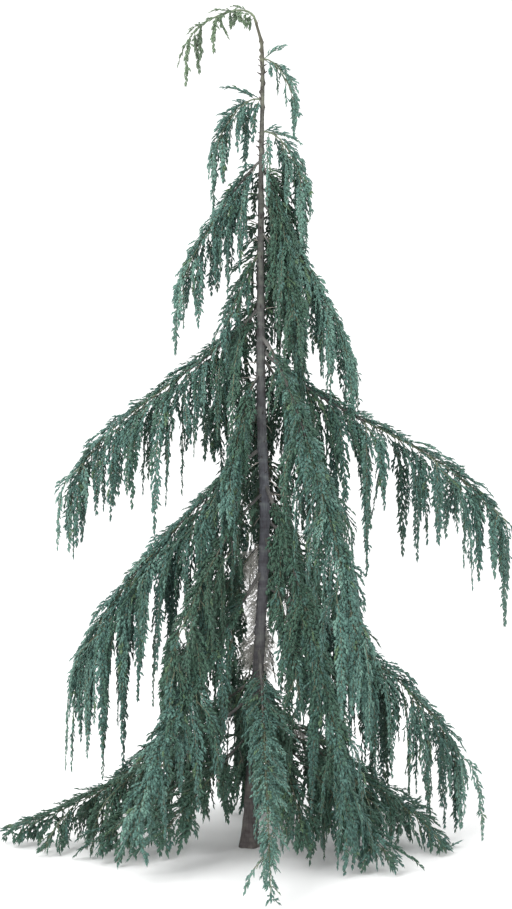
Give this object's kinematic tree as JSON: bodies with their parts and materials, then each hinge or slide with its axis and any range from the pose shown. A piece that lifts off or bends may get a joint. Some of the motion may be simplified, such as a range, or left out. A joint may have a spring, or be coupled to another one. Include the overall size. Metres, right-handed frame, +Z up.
{
  "type": "weeping nootka cypress tree",
  "caption": "Slender weeping conifer: one upright trunk with a nodding tip, arching boughs and long hanging tails of scaly foliage, rooted in the ground.",
  "frame": {"origin": "middle of the flat cut under the trunk, at ground level", "axes": "+Z up along the trunk, +X to the right and -Y to the front as the picture sees the tree"},
  "size_m": [1.9303, 1.6994, 3.1755],
  "materials": {
    "trunk_bark": "rough bark",
    "limb_bark": "smooth bark",
    "foliage": "matte scaly foliage",
    "leader_foliage": "matte scaly foliage, paler"
  },
  "bodies": {
    "root": {"back_crest_foliage": "foliage", "back_foot_foliage": "foliage", "back_high_foliage": "foliage", "back_left_foot_bough": "limb_bark", "back_left_foot_foliage": "foliage", "back_left_high_foliage": "foliage", "back_left_low_bough": "limb_bark", "back_left_low_foliage": "foliage", "back_left_middle_bough": "limb_bark", "back_left_middle_foliage": "foliage", "back_low_bough": "limb_bark", "back_low_foliage": "foliage", "back_middle_bough": "limb_bark", "back_middle_foliage": "foliage", "back_right_foot_bough": "limb_bark", "back_right_foot_foliage": "foliage", "back_right_low_bough": "limb_bark", "back_right_low_foliage": "foliage", "back_right_middle_bough": "limb_bark", "back_right_middle_foliage": "foliage", "front_left_foot_foliage": "foliage", "front_left_low_bough": "limb_bark", "front_left_low_foliage": "foliage", "front_low_bough": "limb_bark", "front_low_foliage": "foliage", "front_right_foot_bough": "limb_bark", "front_right_foot_foliage": "foliage", "front_right_high_bough": "limb_bark", "front_right_high_foliage": "foliage", "front_right_inner_foliage": "foliage", "front_right_low_bough": "limb_bark", "front_right_low_foliage": "foliage", "front_right_skirt_foliage": "foliage", "leader_foliage": "leader_foliage", "left_crest_foliage": "foliage", "left_foot_bough": "limb_bark", "left_foot_foliage": "foliage", "left_front_bough": "limb_bark", "left_front_foliage": "foliage", "left_inner_high_foliage": "foliage", "left_inner_middle_foliage": "foliage", "left_low_foot_foliage": "foliage", "left_middle_bough": "limb_bark", "left_middle_foliage": "foliage", "left_top_foliage": "foliage", "left_wide_bough": "limb_bark", "left_wide_foliage": "foliage", "right_crest_foliage": "foliage", "right_foot_bough": "limb_bark", "right_foot_foliage": "foliage", "right_middle_bough": "limb_bark", "right_middle_foliage": "foliage", "right_top_foliage": "foliage", "right_upper_bough": "limb_bark", "right_upper_foliage": "foliage", "right_wide_bough": "limb_bark", "right_wide_foliage": "foliage", "trunk": "trunk_bark"}
  },
  "joints": []
}
